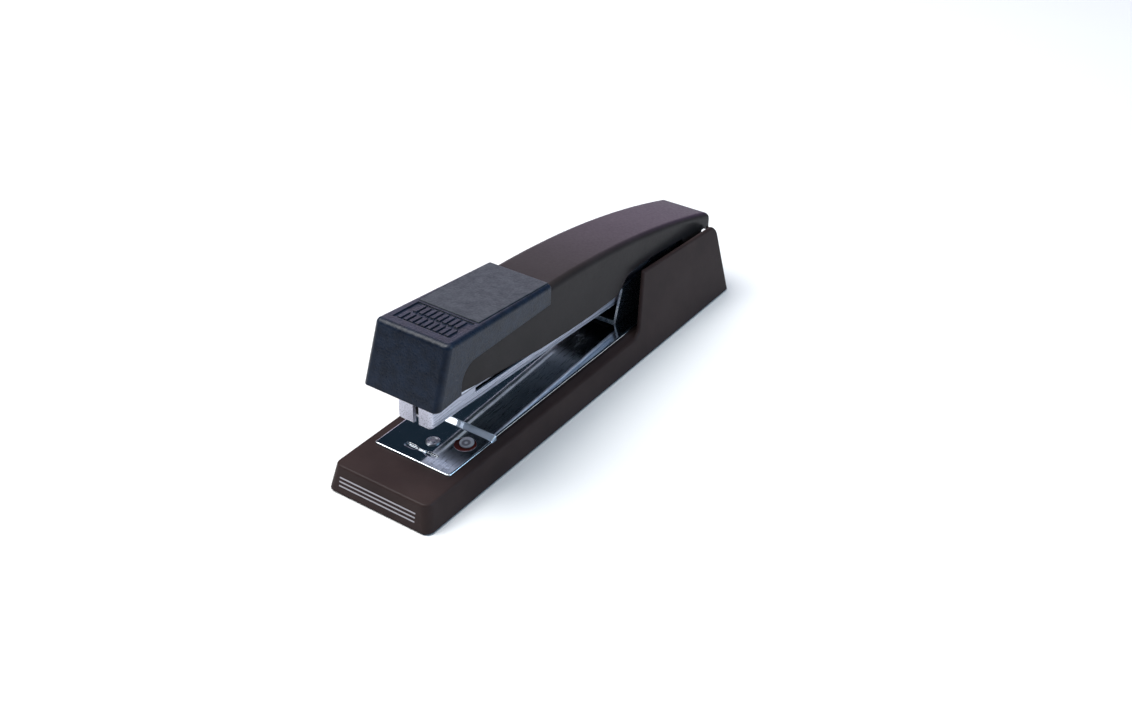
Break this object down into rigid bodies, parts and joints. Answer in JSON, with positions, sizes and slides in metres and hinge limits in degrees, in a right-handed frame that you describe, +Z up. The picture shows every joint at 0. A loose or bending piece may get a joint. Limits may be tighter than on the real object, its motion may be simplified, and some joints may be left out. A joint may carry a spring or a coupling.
{
  "type": "desk stapler",
  "caption": "Full-strip desk stapler with a brown pressed-steel base and arched handle, black nose cap, chrome anvil plate and hinged steel magazine.",
  "frame": {"origin": "centre of the base's footprint, on the surface it stands on", "axes": "+Z up, the nose that drives the staples points to -Y, the hinge is at the +Y end, X across"},
  "size_m": [0.0452, 0.1968, 0.0596],
  "materials": {
    "brown_paint": "semi-gloss enamel over pressed steel",
    "black_plastic": "fine leather-grain moulded plastic",
    "pad_plastic": "finely stippled moulded plastic",
    "sole_rubber": "matt non-slip sole",
    "chrome_plate": "polished chrome plating",
    "bright_steel": "bright nickel-plated sheet steel",
    "spring_steel": "oiled spring steel",
    "dark_steel": "phosphated sheet steel"
  },
  "bodies": {
    "base": {"base_shell": "brown_paint", "base_pad": "sole_rubber", "anvil_plate": "chrome_plate", "anvil_rivet": "bright_steel", "latch_button": "bright_steel", "pivot_bracket": "bright_steel", "bracket_rivets": "bright_steel", "pivot_pin": "bright_steel", "pin_clips": "dark_steel", "lift_spring": "spring_steel"},
    "magazine": {"magazine_channel": "bright_steel", "staple_rail": "dark_steel", "guide_rod": "bright_steel", "end_stop": "dark_steel", "magazine_rivet": "bright_steel", "pusher_spring": "spring_steel"},
    "staple_pusher": {"pusher": "dark_steel"},
    "handle": {"handle_cover": "brown_paint", "handle_frame": "dark_steel", "handle_rivets": "bright_steel", "driver_blade": "spring_steel", "handle_spring": "spring_steel", "front_cap": "black_plastic", "cap_pad": "pad_plastic"}
  },
  "joints": [
    {"name": "magazine_hinge", "type": "hinge", "parent": "base", "child": "magazine", "pos_m": [0, 0.085, 0.022], "axis": [-1, 0, 0], "range_deg": [-4.2, 90], "stiffness_Nm_per_rad": 8, "springref_deg": 1.15, "deforming": ["lift_spring"]},
    {"name": "handle_hinge", "type": "hinge", "parent": "magazine", "child": "handle", "pos_m": [0, 0.085, 0.022], "axis": [-1, 0, 0], "range_deg": [-2.9, 60], "stiffness_Nm_per_rad": 8, "springref_deg": 1.15, "deforming": ["handle_spring"]},
    {"name": "pusher_slide", "type": "slide", "parent": "magazine", "child": "staple_pusher", "axis": [0, 0.9987, -0.0516], "range_m": [0, 0.09], "stiffness_N_per_m": 20, "springref_m": -0.05, "deforming": ["pusher_spring"]}
  ]
}
